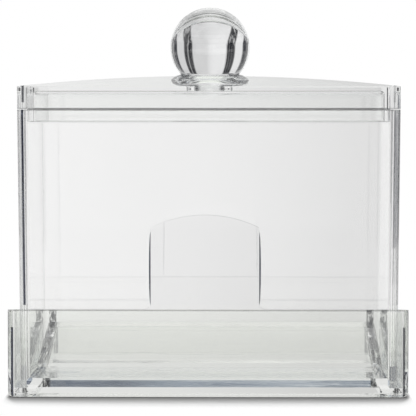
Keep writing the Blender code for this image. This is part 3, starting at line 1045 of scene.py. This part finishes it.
class SWAB_OT_make_stage(bpy.types.Operator):
    """Make the pale floor, the studio around it and the camera"""

    bl_idname = "swab_holder.make_stage"
    bl_label = "Make Stage"

    def execute(self, context):
        settings = context.scene.swab_stage
        self.make_floor(settings)
        self.make_world(context.scene)
        self.make_lamps()
        self.make_camera(context.scene, settings)
        cycles = context.scene.cycles
        cycles.max_bounces = 40
        cycles.glossy_bounces = 24
        cycles.transmission_bounces = 32
        context.scene.view_settings.view_transform = "Standard"
        return {"FINISHED"}

    def make_floor(self, settings):
        clear_selection()
        floor_z = CAD_BOX[0][2] - FLOOR_DROP
        bpy.ops.mesh.primitive_plane_add(size=settings.floor_size, location=(0, 0, floor_z))
        floor = bpy.context.object
        floor.name = "pale_floor"
        settle(floor)
        material = bpy.data.materials.new("pale_floor")
        tree = Tree(material)
        place = tree.object_place()
        x, y, _ = tree.axes(place)
        spread = self.shadow_spread(settings, x, y)
        fall = tree.ramp(spread, SHADOW_FALL)
        sockets = {"Base Color": fall, "Roughness": FLOOR_ROUGHNESS, "Specular IOR Level": 0}
        shaded = tree.add("ShaderNodeBsdfPrincipled", None, sockets)

        # Through or off the pieces, the floor glows with painted studio light: a tone, dark strips, a card,
        # streaks
        distance = (x * x + (y - KNOB_Y) ** 2 + TINY) ** 0.5
        sunk = KNOB_Z / (distance * distance + KNOB_Z**2) ** 0.5
        strips = self.leaning_strips(tree, x, abs(x) / distance, sunk)
        shown = (distance > STRIPS_FROM) * (tree.light("Transmission Depth") < FEW_WALLS) * (y > 0)
        through = tree.tint(tree.mix(shown, WHITE, strips), self.graded(tree, x, abs(y) + STAND_OFF))
        once = tree.ramp(y * 2 + 0.5, ONCE_ON_FLOOR)
        noise = tree.noise(tree.stretched(place, STREAK_STRETCH), STREAK_SCALE, 3)
        middle = tree.ramp(abs(x) * 10, FLOOR_MIDDLE)
        close = tree.mix(middle, tree.ramp(noise, ECHO_STREAKS), rgba(ECHO_MIDDLE))
        often = tree.mix(tree.ramp(distance * 2, FLOOR_FAR), close, rgba(PALE))
        seen = self.by_mirrorings(tree, through, once, often)

        past_pieces = tree.light("Is Transmission Ray").most(tree.light("Is Glossy Ray"))
        colour_seen = tree.mix(past_pieces, WHITE, seen)
        glow = tree.wire("ShaderNodeEmission", None, {"Color": colour_seen, "Strength": 1})
        factor = tree.ramp(spread * 0.5, SHADOW_END).most(past_pieces)
        both = tree.wire("ShaderNodeMixShader", None, {0: factor, 1: Wire(tree, shaded.outputs[0]), 2: glow})
        tree.add("ShaderNodeOutputMaterial", None, {"Surface": both})
        floor.data.materials.append(material)

    def shadow_spread(self, settings, x, y):
        """How far out in the contact shadow a place lies: 0 at the tray, 1 at the shadow's end."""
        low, high = CAD_BOX
        reach = settings.shadow_reach
        ahead = (low[1] - y).most(0)
        beyond = (y - high[1]).most(0)
        taper = ahead * settings.shadow_draw
        outside = (abs(x) + taper - high[0] + settings.shadow_under).most(0)
        sideways = outside / (taper + reach * settings.shadow_side)
        behind = beyond / (reach * settings.shadow_back)
        return (sideways**2 + (ahead / reach) ** 2 + behind**2) ** 0.5

    def graded(self, tree, x, ahead):
        """The tone from left to right that light through the pieces meets."""
        return tree.ramp(x / ahead * GRADE_SPREAD + 0.5, GRADE)

    def leaning_strips(self, tree, x, aside, sunk):
        """The dark strips that light through the pieces meets, leaning outwards below the horizon."""
        lean = (x < 0) * (LEAN_LEFT - LEAN_RIGHT) + LEAN_RIGHT
        strips = tree.ramp(aside - lean * (sunk * sunk / (sunk + LEAN_START)), THROUGH_STRIPS)
        sockets = {0: aside * GLINTS_ACROSS, 1: sunk * GLINTS_DOWN, 2: (x < 0) * GLINTS_APART}
        place = tree.wire("ShaderNodeCombineXYZ", None, sockets)
        return tree.mix(tree.ramp(tree.noise(place, 1, 3), THROUGH_GLINTS), strips, WHITE)

    def by_mirrorings(self, tree, through, once, often):
        """What light sees, by how often it has been mirrored."""
        depth = tree.light("Glossy Depth")
        mirrored = tree.mix(depth > MIRRORED_OFTEN, once, often)
        return tree.mix(depth > MIRRORED, through, mirrored)

    def make_world(self, scene):
        world = bpy.data.worlds.new("pale_studio")
        scene.world = world
        tree = Tree(world)
        direction = tree.wire("ShaderNodeTexCoord", output="Generated")
        x, y, z = tree.axes(direction)
        aside = abs(x) / (x * x + y * y + TINY) ** 0.5
        strips = self.leaning_strips(tree, x, aside, (0 - z).most(0))
        faded = tree.mix(tree.ramp(abs(z), THROUGH_FADE), strips, WHITE)
        bands = tree.tint(faded, tree.ramp(z * 0.5 + 0.5, THROUGH_RISE))
        shown = (tree.light("Transmission Depth") < FEW_WALLS) * (y > 0)
        through = tree.tint(tree.mix(shown, WHITE, bands), self.graded(tree, x, abs(y) + TINY))

        side = tree.ramp(x * 0.5 + 0.5, SIDE_SHADES)
        ends = tree.mix(y < FRONT_FROM, side, rgba(ONCE_FRONT))
        walls = tree.mix(y > BACK_FROM, ends, rgba(ONCE_BACK))
        barred = tree.tint(tree.tint(walls, tree.ramp(aside, ONCE_STRIPS)), tree.ramp(z, ONCE_RISE))
        card = (abs(x) < CARD_HALF_WIDTH) * (abs(z) < CARD_HALF_HEIGHT) * (y < 0)
        once = tree.mix(card, barred, rgba(FRONT_CARD))

        lines = tree.ramp(tree.noise(tree.stretched(direction, LINE_SCALES), 1, 2), ECHO_LINES)
        echo_strips = tree.ramp(aside, ECHO_STRIPS)
        echoes = tree.tint(tree.mix((x > 0) * ECHO_PALE_RIGHT, echo_strips, rgba(PALE)), lines)
        ripples = tree.ramp(tree.noise(tree.stretched(direction, RIPPLE_SCALES), 1, 2), ECHO_RIPPLES)
        middle = tree.tint(tree.mix(tree.ramp(abs(z), ECHO_RISE), rgba(PALE), ripples), side)
        often = tree.mix(aside < ECHO_HALF_MIDDLE, echoes, middle)
        seen = self.by_mirrorings(tree, through, once, often)
        plain = tree.light("Is Camera Ray") + tree.light("Is Diffuse Ray")
        light = tree.mix(plain, seen, WHITE)
        background = tree.wire("ShaderNodeBackground", None, {"Color": light, "Strength": 1})
        tree.add("ShaderNodeOutputWorld", None, {"Surface": background})

    def make_lamps(self):
        for name, place, width, power in LAMPS:
            clear_selection()
            bpy.ops.object.light_add(type="AREA", location=place)
            lamp = bpy.context.object
            lamp.name = name
            lamp.data.size = width
            lamp.data.energy = power
            aim = Vector(LAMP_AIM) - Vector(place)
            lamp.rotation_euler = aim.to_track_quat("-Z", "Y").to_euler()
            lamp.visible_camera = False
            lamp.visible_transmission = False

    def make_camera(self, scene, settings):
        clear_selection()
        bpy.ops.object.camera_add(location=settings.eye)
        camera = bpy.context.object
        camera.name = "photo_camera"
        camera.data.sensor_width = SENSOR_WIDTH
        camera.data.lens = settings.focal_pixels / PHOTO_WIDTH * SENSOR_WIDTH
        camera.data.clip_start = 0.01
        tilt, turn = settings.tilt, settings.turn
        aim = Vector((-math.sin(turn) * math.cos(tilt), math.cos(turn) * math.cos(tilt), -math.sin(tilt)))
        camera.rotation_euler = aim.to_track_quat("-Z", "Y").to_euler()
        scene.camera = camera


class SWAB_PT_sidebar(bpy.types.Panel):
    bl_idname = "SWAB_PT_sidebar"
    bl_label = "Swab Holder"
    bl_space_type = "VIEW_3D"
    bl_region_type = "UI"
    bl_category = "Swab Holder"

    def draw(self, context):
        for maker in MAKERS:
            self.layout.operator(maker.bl_idname)
        for group in GROUPS:
            settings = getattr(context.scene, group)
            for name in settings.bl_rna.properties.keys():
                if name not in ("rna_type", "name"):
                    self.layout.prop(settings, name)


GROUPS = {
    "swab_tray": SwabTraySizes,
    "swab_hopper": SwabHopperSizes,
    "swab_lid": SwabLidSizes,
    "swab_knob": SwabKnobSizes,
    "swab_finish": SwabFinish,
    "swab_stage": SwabStage,
}
MAKERS = (
    SWAB_OT_make_tray,
    SWAB_OT_make_hopper,
    SWAB_OT_make_lid,
    SWAB_OT_make_knob,
    SWAB_OT_make_stage,
)


def register():
    for name, group in GROUPS.items():
        bpy.utils.register_class(group)
        setattr(bpy.types.Scene, name, PointerProperty(type=group))
    for maker in MAKERS:
        bpy.utils.register_class(maker)
    bpy.utils.register_class(SWAB_PT_sidebar)


def unregister():
    bpy.utils.unregister_class(SWAB_PT_sidebar)
    for maker in reversed(MAKERS):
        bpy.utils.unregister_class(maker)
    for name, group in GROUPS.items():
        delattr(bpy.types.Scene, name)
        bpy.utils.unregister_class(group)


def main():
    register()
    bpy.ops.swab_holder.make_tray()
    bpy.ops.swab_holder.make_hopper()
    bpy.ops.swab_holder.make_lid()
    bpy.ops.swab_holder.make_knob()
    bpy.ops.swab_holder.make_stage()


if __name__ == "__main__":
    main()
